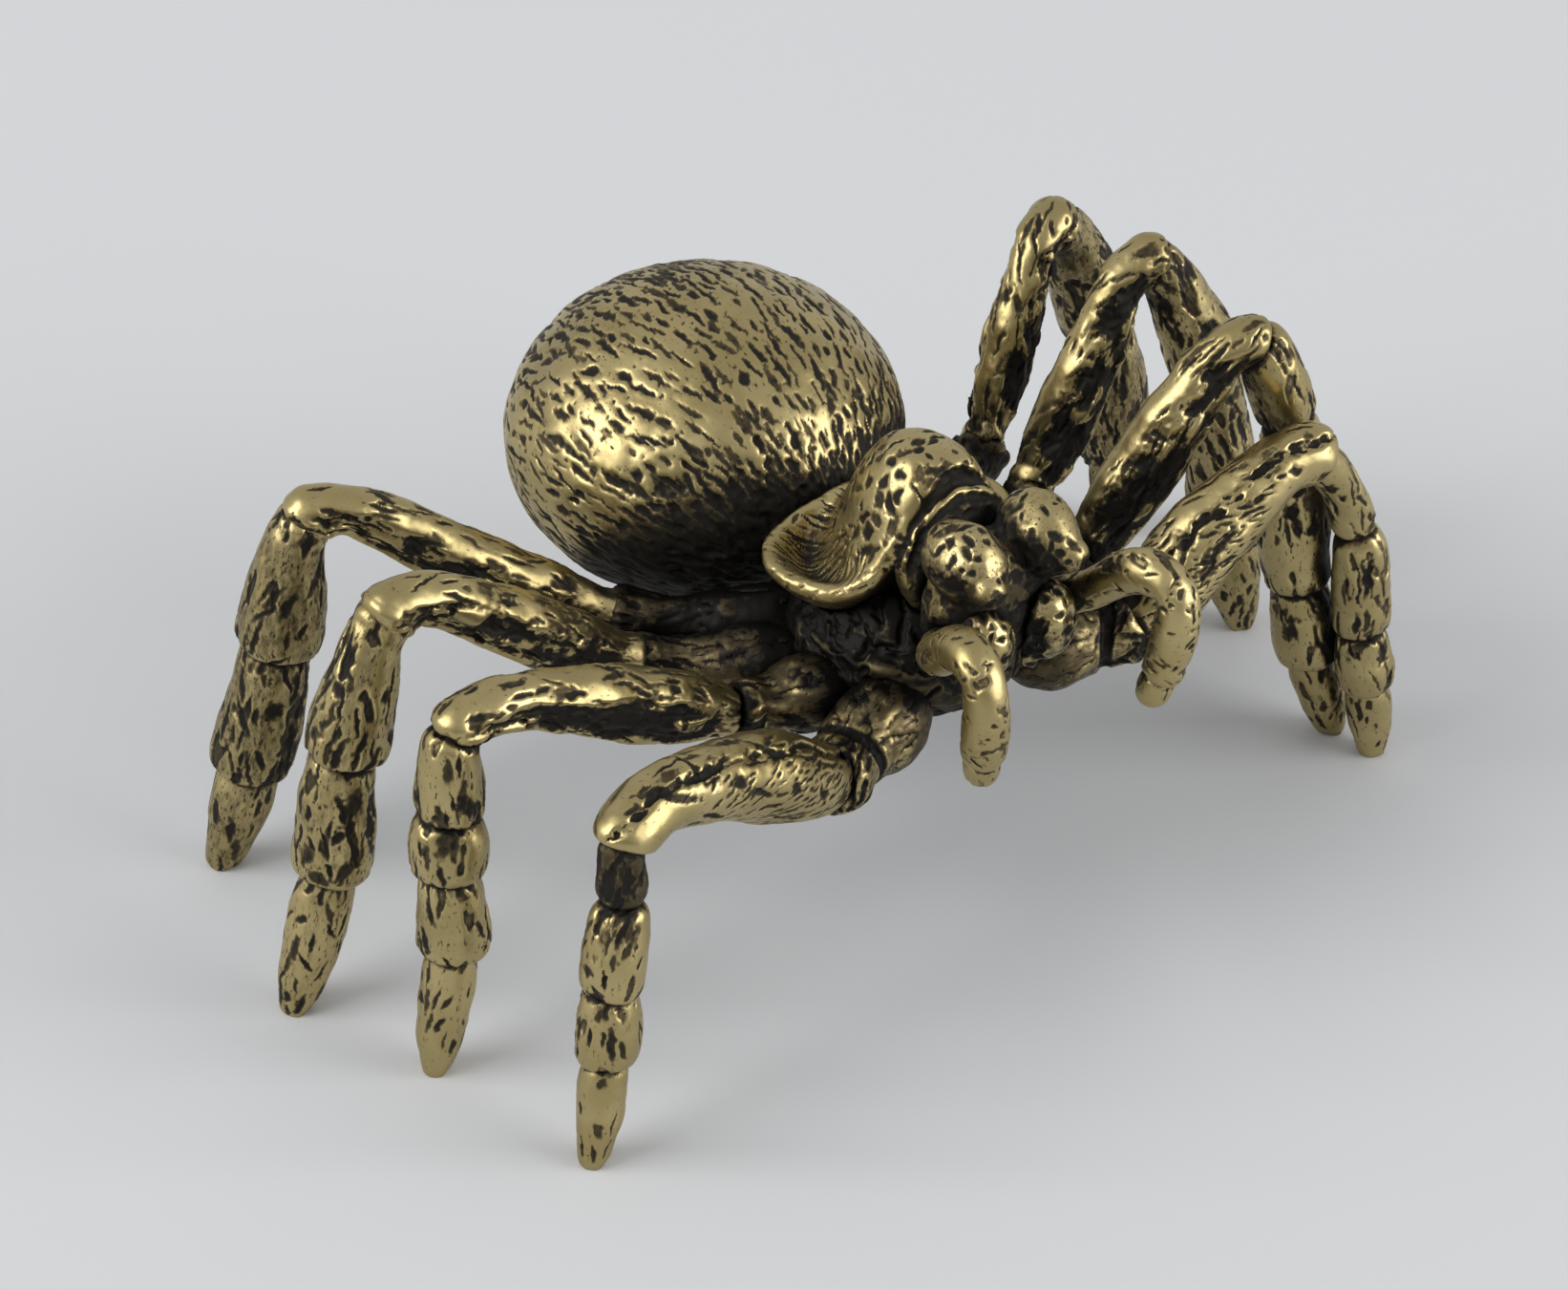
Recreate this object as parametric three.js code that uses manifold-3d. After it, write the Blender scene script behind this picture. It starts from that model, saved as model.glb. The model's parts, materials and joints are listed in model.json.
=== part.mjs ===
import * as THREE from "three";
import { mergeVertices } from "three/addons/utils/BufferGeometryUtils.js";
import Module from "manifold-3d";

// A cast brass spider standing on its eight feet, in millimetres
// It faces -Y, its left side is +X, up is +Z and the feet stand on Z = 0

const wasm = await Module();
wasm.setup();

// Seams: the solder gap between neighbours, the rounding and wall of a cuff's lip and the depth of its cup
const SEAM = 0.3;
const CUFF_ROUND = { height: 0.5, inset: 0.15 };
const CUFF_LIP = 0.25;
const CUP_DEPTH = 0.8;
const CUP_SHOULDER = { width: 0.8, depth: 0.65 };

// Facets round a leg, a palp and a body form, and steps that measure each stretch of a course
const LEG_SIDES = 10;
const PALP_SIDES = 8;
const HEAD_SIDES = 14;
const BODY_SIDES = 28;
const COURSE_STEPS = 40;

// Abdomen: a flattened egg whose front end meets the waist and whose middle stands above it
const ABDOMEN_LENGTH = 20.4;
const ABDOMEN_WIDTH = 20.4;
const ABDOMEN_HEIGHT = 15.8;
const ABDOMEN_RISE = 2.8;
const ABDOMEN_EGG = 0.05;

// Waist between the thorax and the abdomen
const WAIST_DIAMETER = 4.4;
const WAIST_GAP = 1.0;
const WAIST_TENON = 1.4;

// Thorax: the core that carries the shield, the head and every leg
const THORAX_LENGTH = 10.6;
const THORAX_WIDTH = 11.0;
const THORAX_HEIGHT = 8.6;
const THORAX_Y = -6.9;
const THORAX_Z = 15.2;

// Back shield: a tall dome that narrows to the rear, a dish round its sides and rear, and a lifted rim
// Its dish stands above the thorax's middle and behind it, and the dome's crest above and ahead of the dish
const SHIELD_LENGTH = 8.2;
const SHIELD_WIDTH = 13.4;
const SHIELD_THICKNESS = 1.0;
const SHIELD_RISE = 2.6;
const SHIELD_SETBACK = 1.6;
const SHIELD_CREST_RISE = 7.7;
const SHIELD_CREST_LEAD = 2.3;
const SHIELD_DOME_HALF_WIDTH = 3.6;
const SHIELD_DOME_FRONT = 3.9;
const SHIELD_DOME_REAR = 5.0;
const SHIELD_DOME_TAPER = 0.15;
const SHIELD_RIM_LIFT = 1.7;
const SHIELD_RIM_START = 0.62;
const SHIELD_SQUARENESS = 3;
const SHIELD_FRONT_TAPER = 0.15;

// The shield's section, as shares of its reach and of its thickness: a flat seat, an undercut rim, the face
const SHIELD_SEAT = [[0, 0], [0.52, 0], [0.72, 0.35], [0.88, 0.6], [0.98, 0.78], [1, 0.88]];
const SHIELD_FACE = [0.98, 0.91, 0.82, 0.71, 0.62, 0.54, 0.46, 0.36, 0.24, 0.12, 0];

// Collar between the shield's dome and the head, set ahead and up from the thorax's middle
const COLLAR = { ahead: 2.9, up: 5.7, width: 6.8, length: 2.8, height: 6.8 };

// Head: the brow stands on the thorax's front edge and bridges two eye lobes, each with a knob in front
// A lobe and a jaw are set out, ahead and up from the middle of the brow, and a knob from its lobe
const BROW = { width: 7.0, length: 4.6, height: 7.2 };
const LOBE = { out: 2.2, ahead: 0.9, up: 3.4, width: 3.4, length: 4.6, height: 3.7 };
const KNOB = { out: 0.3, ahead: 2.2, up: -0.3, diameter: 1.6 };

// Jaws under the head, each with a short fang rooted inside it
const JAW = { out: 1.9, ahead: 2.1, up: -0.8, width: 3.0, length: 3.0, height: 3.8 };
const FANG = { inset: 0.8, length: 0.9, root: 1.05, diameter: 1.1 };

// Palps: each arm leaves the side of the head, rises and hooks over in front of it
// Its course is set out, ahead and up from the middle of the brow
const PALP_DIAMETER = 2.1;
const PALP_TIP_DIAMETER = 1.8;
const PALP_TIP_LENGTH = 2.2;
const PALP_ARM_SWELL = [
  [0.04, 0.8], [0.2, 0.92], [0.34, 0.88], [0.44, 0.98], [0.52, 1.08], [0.6, 1.06], [0.68, 0.92], [0.76, 0.96],
  [0.85, 1.05],
];
const PALP_TIP_SWELL = [[0.4, 1], [0.8, 0.8]];
const PALP_COURSE = [
  [2.4, 0.0, -1.2],
  [4.5, 1.8, -0.6],
  [5.3, 4.6, 2.1],
  [5.8, 6.7, 2.1],
  [5.7, 7.0, -0.9],
  [5.1, 6.2, -4.7],
];

// Leg pairs, front to rear: where each root ends inside the thorax, and how thick its links, the cuff at
// its knee and its toe are. A socket is set in from the thorax's side, back and up from its middle
const PAIRS = [
  { socket: [2.3, -3.5, -1.3], root: 3.9, femur: 4.1, knee: 3.2, patella: 2.2, tibia: 3.0, metatarsus: 3.0,
    tarsus: 2.3, toe: 1.0 },
  { socket: [0.7, -1.1, -1.2], root: 3.0, femur: 3.6, knee: 2.9, patella: 3.2, tibia: 3.7, metatarsus: 3.5,
    tarsus: 2.6, toe: 1.1 },
  { socket: [0.7, 1.7, -1.5], root: 2.7, femur: 3.4, knee: 2.6, tibia: 4.1, metatarsus: 3.9,
    tarsus: 3.0, toe: 1.4 },
  { socket: [2.3, 3.7, -1.0], root: 2.7, femur: 3.3, knee: 2.6, tibia: 4.4, metatarsus: 4.1,
    tarsus: 3.1, toe: 1.5 },
];

// Each leg's own pose: its hip, set out from the thorax's side, back and up from its middle, its heading
// in degrees towards the rear, the rise of the femur's middle, and then [reach from the hip, height above
// the floor] of its seams down to the reach of its foot
const POSES = {
  right: [
    { hip: [3.8, -5.5, -1.9], heading: -12, crown: 1.0, knee: [14.1, 19.1], patella: [14.3, 14.6],
      tibia: [15.0, 9.8], metatarsus: [15.4, 5.8], foot: 16.3 },
    { hip: [4.8, 0.4, -1.2], heading: 1, crown: 0.4, knee: [15.4, 20.6], patella: [16.1, 15.1],
      tibia: [16.2, 11.8], metatarsus: [16.1, 7.0], foot: 17.3 },
    { hip: [5.7, 7.1, -2.0], heading: 4, crown: 0.0, knee: [13.2, 22.4], tibia: [16.1, 14.2],
      metatarsus: [17.1, 7.6], foot: 19.5 },
    { hip: [4.6, 10.3, -1.7], heading: 29, crown: -0.3, knee: [14.6, 21.9], tibia: [16.6, 13.4],
      metatarsus: [18.3, 6.0], foot: 20.0 },
  ],
  left: [
    { hip: [3.8, -5.5, -0.9], heading: -5.5, crown: 0.4, knee: [9.9, 21.6], patella: [13.8, 15.2],
      tibia: [14.9, 8.7], metatarsus: [15.7, 5.0], foot: 16.7 },
    { hip: [5.6, 0.4, -1.2], heading: -19, crown: 0.0, knee: [7.9, 26.5], patella: [10.6, 20.6],
      tibia: [12.2, 10.5], metatarsus: [13.4, 5.4], foot: 15.2 },
    { hip: [7.7, 6.9, -1.8], heading: -6, crown: -0.4, knee: [6.1, 26.6], tibia: [10.8, 18.0],
      metatarsus: [13.4, 6.3], foot: 14.8 },
    { hip: [8.0, 11.1, -1.4], heading: 20, crown: -0.4, knee: [5.8, 25.4], tibia: [12.2, 15.5],
      metatarsus: [15.5, 5.1], foot: 15.9 },
  ],
};

// How far the knee is rounded, and how far a toe runs on past the floor that cuts it
const KNEE_ROUND = 1.3;
const TOE_RUN = 0.6;

// Swelling of each link along its length: [share of the length, share of its thickness]
const ROOT_SWELL = [[0.08, 0.7], [0.38, 1.0], [0.62, 0.76], [0.8, 0.9]];
const LINK_SWELLS = {
  femur: [[0, 0.62], [0.1, 0.8], [0.24, 0.99], [0.42, 1.0], [0.6, 0.88], [0.74, 0.76], [0.86, 0.72]],
  patella: [[0, 0.84], [0.3, 0.88], [0.6, 0.95]],
  tibia: [[0, 0.82], [0.3, 0.94], [0.62, 1.0]],
  metatarsus: [[0, 0.8], [0.3, 0.9], [0.62, 1.0]],
};
const FLARED_TIBIA_SWELL = [[0, 0.57], [0.22, 0.66], [0.5, 0.84], [0.74, 0.96]];
const TARSUS_SWELL = [[0, 0.86], [0.2, 0.94], [0.45, 0.94], [0.72, 0.74]];

// The spider's two sides
const SIDES = { right: -1, left: 1 };

// Places that the pieces share
const shieldY = THORAX_Y + SHIELD_SETBACK;
const dishZ = THORAX_Z + SHIELD_RISE;
const seatZ = dishZ - SHIELD_THICKNESS;
const waistZ = seatZ - SEAM - WAIST_DIAMETER / 2;
const thoraxRear = THORAX_Y + THORAX_LENGTH / 2;
const abdomenFront = thoraxRear + WAIST_GAP;
const browMiddle = new THREE.Vector3(0, THORAX_Y - THORAX_LENGTH / 2, THORAX_Z + THORAX_HEIGHT / 2);
const besideBrow = (side, { out, ahead, up }) =>
  browMiddle.clone().add(new THREE.Vector3(side * out, -ahead, up));
const besideThorax = (side, out, back, up) =>
  new THREE.Vector3(side * (THORAX_WIDTH / 2 + out), THORAX_Y + back, THORAX_Z + up);

// Joins and cuts
function toSolid(geometry) {
  const bare = geometry.clone();
  bare.deleteAttribute("normal");
  bare.deleteAttribute("uv");
  const merged = mergeVertices(bare);
  const corners = merged.index.array;
  const triangles = [];
  for (let i = 0; i < corners.length; i += 3) {
    const [a, b, c] = corners.slice(i, i + 3);
    if (a !== b && b !== c && c !== a) triangles.push(a, b, c);
  }
  return new wasm.Manifold(
    new wasm.Mesh({
      numProp: 3,
      vertProperties: new Float32Array(merged.attributes.position.array),
      triVerts: new Uint32Array(triangles),
    }),
  );
}

function toGeometry(solid) {
  const mesh = solid.getMesh();
  const geometry = new THREE.BufferGeometry();
  geometry.setAttribute("position", new THREE.BufferAttribute(new Float32Array(mesh.vertProperties), 3));
  geometry.setIndex(new THREE.BufferAttribute(new Uint32Array(mesh.triVerts), 1));
  geometry.computeVertexNormals();
  return geometry;
}

const cut = (solid, ...cutters) => cutters.reduce((rest, cutter) => rest.subtract(cutter), solid);
const join = (solid, ...others) => others.reduce((whole, other) => whole.add(other), solid);

// An egg-shaped lump of the given width, length and height, standing off its size by grow
function lump(place, { width, length, height }, sides, grow = 0) {
  const geometry = new THREE.SphereGeometry(0.5, sides, sides / 2);
  geometry.rotateX(Math.PI / 2);
  geometry.scale(width + 2 * grow, length + 2 * grow, height + 2 * grow);
  geometry.translate(place.x, place.y, place.z);
  return toSolid(geometry);
}

// A smooth course through named points, with its seams at their distances and a frame anywhere along it
class Course {
  constructor(points, sideways) {
    const stops = Object.values(points);
    this.curve = new THREE.CatmullRomCurve3(stops, false, "centripetal");
    this.sideways = sideways;
    const lengths = this.curve.getLengths(COURSE_STEPS * (stops.length - 1));
    const seams = Object.keys(points).map((name, i) => [name, lengths[i * COURSE_STEPS]]);
    this.seams = Object.fromEntries(seams);
    this.length = lengths.at(-1);
  }

  // Past either end the course runs on straight
  frameAt(distance) {
    const share = THREE.MathUtils.clamp(distance / this.length, 0, 1);
    const along = this.curve.getTangentAt(share);
    const point = this.curve.getPointAt(share).addScaledVector(along, distance - share * this.length);
    const side = this.sideways.clone().addScaledVector(along, -this.sideways.dot(along)).normalize();
    return { point, side, up: side.clone().cross(along) };
  }
}

// A turned outline of [radius, distance] pairs, bent along a course
function bentTurning(outline, course, sides) {
  const geometry = new THREE.LatheGeometry(outline.map(([r, s]) => new THREE.Vector2(r, s)), sides);
  const position = geometry.attributes.position;
  for (let i = 0; i < position.count; i++) {
    const { point, side, up } = course.frameAt(position.getY(i));
    point.addScaledVector(side, position.getX(i)).addScaledVector(up, position.getZ(i));
    position.setXYZ(i, point.x, point.y, point.z);
  }
  return toSolid(geometry);
}

// The hollow end of a cuff, from its lip inwards, and the dome that seats in it
const cupMouth = (cuff) => cuff / 2 - CUFF_ROUND.inset - CUFF_LIP;
const cupOutline = (cuff, end) => [
  [cupMouth(cuff), end],
  [cupMouth(cuff) * CUP_SHOULDER.width, end - CUP_DEPTH * CUP_SHOULDER.depth],
  [0, end - CUP_DEPTH],
];
const domeOutline = (cuff, start) =>
  cupOutline(cuff, start)
    .reverse()
    .map(([radius, distance]) => [radius && radius - SEAM, distance + SEAM]);

// The shaft of a link from its shoulder to the seam at its end
const shaftOutline = (start, end, thickness, swell) =>
  swell.map(([share, girth]) => [(thickness * girth) / 2, start + (end - start) * share]);

// The rounded lip of a cuff that ends at a seam
const cuffOutline = (cuff, end) => [
  [cuff / 2, end - CUFF_ROUND.height],
  [cuff / 2 - CUFF_ROUND.inset, end],
  ...cupOutline(cuff, end),
];

// A leg's course from its socket in the thorax down to its toe, with a seam where each link ends
function legCourse(pair, pose, side) {
  const turn = THREE.MathUtils.degToRad(pose.heading);
  const outward = new THREE.Vector3(side * Math.cos(turn), Math.sin(turn), 0);
  const socket = besideThorax(side, -pair.socket[0], pair.socket[1], pair.socket[2]);
  const hip = besideThorax(side, ...pose.hip);
  const place = ([reach, height]) => hip.clone().setZ(height).addScaledVector(outward, reach);
  const knee = place(pose.knee);
  const below = place(pose.patella ?? pose.tibia);
  const middle = hip.clone().lerp(knee, 0.5);
  middle.z += pose.crown;
  const bend = knee.clone().addScaledVector(middle.clone().sub(knee).normalize(), KNEE_ROUND);
  const femur = knee.clone().addScaledVector(below.clone().sub(knee).normalize(), KNEE_ROUND);
  const shin = pose.patella ? { patella: below, tibia: place(pose.tibia) } : { tibia: below };
  const ankle = { metatarsus: place(pose.metatarsus), tarsus: place([pose.foot, 0]) };
  const points = { socket, root: hip, middle, bend, femur, ...shin, ...ankle };
  return new Course(points, new THREE.Vector3(-outward.y, outward.x, 0));
}

// The root of a leg, with its coxa and trochanter, standing off its size by grow
function legRoot(course, pair, grow = 0) {
  const end = course.seams.root;
  const swell = shaftOutline(0, end, pair.root, ROOT_SWELL);
  const shaft = swell.map(([radius, distance]) => [radius + grow, distance]);
  const finish = grow ? [[pair.root / 2 + grow, end], [0, end]] : cuffOutline(pair.root, end);
  return bentTurning([[0, -grow], ...shaft, ...finish], course, LEG_SIDES);
}

// The thickness of the cuff that a link ends in
const cuffOf = (pair, link) => (link === "femur" ? pair.knee : pair[link]);

// One link of a leg, seated in the cuff above and ending in a cuff of its own
function legLink(course, pair, above, link) {
  const start = course.seams[above];
  const end = course.seams[link];
  const swell = link === "tibia" && above === "femur" ? FLARED_TIBIA_SWELL : LINK_SWELLS[link];
  const shaft = shaftOutline(start + SEAM, end, pair[link], swell);
  const seat = domeOutline(cuffOf(pair, above), start);
  const cuff = cuffOutline(cuffOf(pair, link), end);
  return bentTurning([...seat, ...shaft, ...cuff], course, LEG_SIDES);
}

// The last link, tapered to a toe and cut flat by the floor
function legTarsus(course, pair, above) {
  const start = course.seams[above];
  const end = course.seams.tarsus;
  const shaft = shaftOutline(start + SEAM, end, pair.tarsus, TARSUS_SWELL);
  const toe = [[pair.toe / 2, end], [0, end + TOE_RUN]];
  const outline = [...domeOutline(cuffOf(pair, above), start), ...shaft, ...toe];
  return bentTurning(outline, course, LEG_SIDES).trimByPlane([0, 0, 1], 0);
}

function legPieces(name, course, pair) {
  const pieces = { [`${name}_root`]: legRoot(course, pair) };
  let above = "root";
  for (const link of Object.keys(LINK_SWELLS)) {
    if (!pair[link]) continue;
    pieces[`${name}_${link}`] = legLink(course, pair, above, link);
    above = link;
  }
  pieces[`${name}_tarsus`] = legTarsus(course, pair, above);
  return pieces;
}

// Palps
function palpCourse(side) {
  const points = PALP_COURSE.map(([out, ahead, up]) => besideBrow(side, { out, ahead, up }));
  return new Course(points, new THREE.Vector3(side, 0, 0));
}

function palpArm(course, grow = 0) {
  const end = course.length - PALP_TIP_LENGTH;
  const swell = shaftOutline(0, end, PALP_DIAMETER, PALP_ARM_SWELL);
  const shaft = swell.map(([radius, distance]) => [radius + grow, distance]);
  const finish = grow ? [[PALP_DIAMETER / 2 + grow, end], [0, end]] : cuffOutline(PALP_DIAMETER, end);
  return bentTurning([[0, -grow], ...shaft, ...finish], course, PALP_SIDES);
}

function palpTip(course) {
  const start = course.length - PALP_TIP_LENGTH;
  const shaft = shaftOutline(start, course.length, PALP_TIP_DIAMETER, PALP_TIP_SWELL);
  const outline = [...domeOutline(PALP_DIAMETER, start), ...shaft, [0, course.length]];
  return bentTurning(outline, course, PALP_SIDES);
}

// Body
function abdomen() {
  const rings = BODY_SIDES / 2;
  const outline = [];
  for (let i = 0; i <= rings; i++) {
    const angle = (Math.PI * i) / rings;
    const girth = Math.sin(angle) * (1 - ABDOMEN_EGG * Math.cos(angle));
    outline.push(new THREE.Vector2((ABDOMEN_WIDTH / 2) * girth, (-ABDOMEN_LENGTH / 2) * Math.cos(angle)));
  }
  const geometry = new THREE.LatheGeometry(outline, BODY_SIDES);
  geometry.scale(1, 1, ABDOMEN_HEIGHT / ABDOMEN_WIDTH);
  geometry.translate(0, abdomenFront + ABDOMEN_LENGTH / 2, waistZ + ABDOMEN_RISE);
  return toSolid(geometry);
}

function pedicel(grow = 0) {
  const radius = WAIST_DIAMETER / 2 + grow;
  const start = thoraxRear - WAIST_TENON - grow;
  const end = abdomenFront + WAIST_TENON + grow;
  const outline = [[0, start], [radius, start], [radius, end], [0, end]];
  const geometry = new THREE.LatheGeometry(outline.map(([r, y]) => new THREE.Vector2(r, y)), BODY_SIDES / 2);
  geometry.translate(0, 0, waistZ);
  return toSolid(geometry);
}

function thorax() {
  const size = { width: THORAX_WIDTH, length: THORAX_LENGTH, height: THORAX_HEIGHT };
  return lump(new THREE.Vector3(0, THORAX_Y, THORAX_Z), size, BODY_SIDES);
}

// Height of the shield's upper face: the dome falls away to a dish, which lifts again at the rim
function shieldHeight(x, y, share) {
  const along = y - shieldY + SHIELD_CREST_LEAD;
  const fall = along / (along > 0 ? SHIELD_DOME_REAR : SHIELD_DOME_FRONT);
  const halfWidth = SHIELD_DOME_HALF_WIDTH * (1 - SHIELD_DOME_TAPER * THREE.MathUtils.clamp(fall, 0, 1));
  const spread = (x / halfWidth) ** 2 + fall ** 2;
  const dome = Math.exp(-(spread ** 2));
  const rim = SHIELD_RIM_LIFT * THREE.MathUtils.smoothstep(share, SHIELD_RIM_START, 1);
  return THREE.MathUtils.lerp(dishZ + rim, dishZ + SHIELD_CREST_RISE, dome);
}

// The shield is a round plate with a flat seat, pushed out to its outline and up to its height
function shieldPlate(grow) {
  const section = [...SHIELD_SEAT, ...SHIELD_FACE.map((share) => [share, 1])];
  const outline = section.map(([share, level]) => new THREE.Vector2(share, level));
  const geometry = new THREE.LatheGeometry(outline, BODY_SIDES);
  const position = geometry.attributes.position;
  for (let i = 0; i < position.count; i++) {
    const share = Math.hypot(position.getX(i), position.getZ(i));
    const angle = Math.atan2(position.getZ(i), position.getX(i));
    const across = Math.cos(angle);
    const ahead = Math.sin(angle);
    const corner = Math.abs(across) ** SHIELD_SQUARENESS + Math.abs(ahead) ** SHIELD_SQUARENESS;
    const reach = share * corner ** (-1 / SHIELD_SQUARENESS);
    const forward = reach * ahead;
    const narrowing = 1 - SHIELD_FRONT_TAPER * Math.max(forward, 0);
    const x = reach * across * narrowing * (SHIELD_WIDTH / 2 + grow);
    const y = shieldY - forward * (SHIELD_LENGTH / 2 + grow);
    const faceZ = shieldHeight(x, y, share) + grow;
    position.setXYZ(i, x, y, THREE.MathUtils.lerp(seatZ - grow, faceZ, position.getY(i)));
  }
  return toSolid(geometry);
}

// The shield with the collar in front of its dome
function shield(grow = 0) {
  const place = new THREE.Vector3(0, THORAX_Y - COLLAR.ahead, THORAX_Z + COLLAR.up);
  return join(shieldPlate(grow), lump(place, COLLAR, HEAD_SIDES, grow));
}

function eyeLobe(side, grow) {
  const place = besideBrow(side, LOBE);
  const front = place.clone().add(new THREE.Vector3(side * KNOB.out, -KNOB.ahead, KNOB.up));
  const round = { width: KNOB.diameter, length: KNOB.diameter, height: KNOB.diameter };
  return join(lump(place, LOBE, HEAD_SIDES, grow), lump(front, round, PALP_SIDES, grow));
}

function head(grow = 0) {
  const lobes = Object.values(SIDES).map((side) => eyeLobe(side, grow));
  return join(lump(browMiddle, BROW, HEAD_SIDES, grow), ...lobes);
}

function chelicera(side, grow = 0) {
  const place = besideBrow(side, JAW);
  const bottom = place.z - JAW.height / 2;
  const tip = bottom - FANG.length - grow;
  const outline = [[0, tip], [FANG.diameter / 2 + grow, bottom + FANG.root], [0, place.z]];
  const fang = new THREE.LatheGeometry(outline.map(([r, z]) => new THREE.Vector2(r, z)), PALP_SIDES);
  fang.rotateX(Math.PI / 2);
  fang.translate(place.x - side * FANG.inset, place.y, 0);
  return join(lump(place, JAW, HEAD_SIDES, grow), toSolid(fang));
}

// Assembly: legs and palps keep their full form, and the body pieces are cut back from them by the seam
const solids = {};
const rootCutters = [];
const armCutters = [];
for (const [sideName, side] of Object.entries(SIDES)) {
  PAIRS.forEach((pair, i) => {
    const course = legCourse(pair, POSES[sideName][i], side);
    Object.assign(solids, legPieces(`leg_${i + 1}_${sideName}`, course, pair));
    rootCutters.push(legRoot(course, pair, SEAM));
  });
  const course = palpCourse(side);
  solids[`palp_arm_${sideName}`] = palpArm(course);
  solids[`palp_tip_${sideName}`] = palpTip(course);
  armCutters.push(palpArm(course, SEAM));
}

solids.head = cut(head(), ...armCutters);
const headCutter = head(SEAM);
const jawCutters = [];
for (const [sideName, side] of Object.entries(SIDES)) {
  solids[`chelicera_${sideName}`] = cut(chelicera(side), headCutter, ...armCutters);
  jawCutters.push(chelicera(side, SEAM));
}
solids.carapace = cut(shield(), headCutter);
const shieldCutter = shield(SEAM);
solids.pedicel = pedicel();
solids.thorax = cut(
  thorax(), shieldCutter, headCutter, ...jawCutters, ...rootCutters, ...armCutters, pedicel(SEAM),
);
solids.abdomen = cut(abdomen(), pedicel(SEAM), shieldCutter, ...rootCutters);

// Brass: polished where hands rub it, darkened in the recesses
const brass = (color, roughness) => new THREE.MeshStandardMaterial({ color, roughness, metalness: 1 });
const ANTIQUE = brass(0xa88f55, 0.38);
const POLISHED = brass(0xc2a860, 0.3);
const DARKENED = brass(0x4a3d28, 0.5);
const FINISHES = [
  [/tarsus|palp/, POLISHED],
  [/thorax|pedicel|root|chelicera/, DARKENED],
];

const spider = new THREE.Group();
for (const [name, solid] of Object.entries(solids)) {
  const finish = FINISHES.find(([pattern]) => pattern.test(name))?.[1] ?? ANTIQUE;
  const mesh = new THREE.Mesh(toGeometry(solid), finish);
  mesh.name = name;
  spider.add(mesh);
}

// The origin stands on the floor under the middle of the figure
const middle = new THREE.Box3().setFromObject(spider).getCenter(new THREE.Vector3());
for (const mesh of spider.children) mesh.position.set(-middle.x, -middle.y, 0);

export default spider;
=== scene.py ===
import itertools
import json
import math
from collections import namedtuple

import bpy
import numpy as np
from bpy.props import FloatProperty, FloatVectorProperty, PointerProperty
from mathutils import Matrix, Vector
from mathutils.bvhtree import BVHTree
from mathutils.kdtree import KDTree


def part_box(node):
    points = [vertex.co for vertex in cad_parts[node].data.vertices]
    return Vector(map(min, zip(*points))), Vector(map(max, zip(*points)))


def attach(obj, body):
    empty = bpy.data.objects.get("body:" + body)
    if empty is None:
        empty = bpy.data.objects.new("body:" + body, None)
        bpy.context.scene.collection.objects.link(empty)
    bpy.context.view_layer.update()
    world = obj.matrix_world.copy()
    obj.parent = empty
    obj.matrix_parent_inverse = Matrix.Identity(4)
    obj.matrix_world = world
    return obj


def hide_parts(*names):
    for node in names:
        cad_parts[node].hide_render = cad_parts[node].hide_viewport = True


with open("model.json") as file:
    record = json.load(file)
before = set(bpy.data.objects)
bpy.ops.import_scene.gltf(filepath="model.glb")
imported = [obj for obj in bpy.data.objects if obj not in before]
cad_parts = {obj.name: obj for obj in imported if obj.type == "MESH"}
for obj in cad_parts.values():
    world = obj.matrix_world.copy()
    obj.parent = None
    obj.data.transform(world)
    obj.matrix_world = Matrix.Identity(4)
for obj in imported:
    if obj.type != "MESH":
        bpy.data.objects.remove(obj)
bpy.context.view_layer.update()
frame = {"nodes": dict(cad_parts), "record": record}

bl_info = {
    "name": "Brass Spider",
    "version": (1, 0, 0),
    "blender": (4, 5, 0),
    "location": "View3D > Sidebar > Spider",
    "description": "Casts, chases and darkens a small brass spider over its construction model",
    "category": "Add Mesh",
}

SLOTS = {row["node"]: row["material_slot"] for row in frame["record"]["subparts"]}
MM = 0.001
UP = (0.0, 0.0, 1.0)

# Names of the pieces, and the sides and links that repeat
SIDES = ("right", "left")
PAIRS = (1, 2, 3, 4)
LINKS = ("root", "femur", "patella", "tibia", "metatarsus", "tarsus")
PALP_PARTS = ("arm", "tip")

# Lengths from here on are in millimetres. A pair of numbers whose name ends in FADE gives the values
# between which something comes in or goes out.

# Welding a copy of a node: distance between merged corners, and the angle up to which triangles pair up
WELD = 0.005
QUAD_ANGLE = math.radians(60)

# One kind of chased mark: sizes, the share of places that get one, how far it strays from the flow, how far
# the marks gather in patches, from 0 to 1, and how dark they come out
Mark = namedtuple("Mark", "spacing length width depth share stray gather stain", defaults=(1.0,))
ABDOMEN_DASH = Mark(spacing=0.5, length=1.8, width=0.5, depth=0.09, share=1.0, stray=0.1, gather=0.1)
ABDOMEN_CUT = Mark(spacing=0.5, length=1.6, width=0.46, depth=0.16, share=0.9, stray=0.1, gather=0.3)
ABDOMEN_DOT = Mark(
    spacing=0.5, length=0.34, width=0.3, depth=0.04, share=0.6, stray=1.5, gather=0.5, stain=0.8)
LEG_DASH = Mark(spacing=0.42, length=1.8, width=0.42, depth=0.09, share=0.85, stray=0.2, gather=0.85)
LEG_PATCH = Mark(spacing=1.2, length=1.7, width=0.85, depth=0.1, share=0.5, stray=0.4, gather=0.6)
FEMUR_HATCH = Mark(spacing=0.34, length=1.0, width=0.24, depth=0.07, share=0.95, stray=0.15, gather=0.3)
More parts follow.
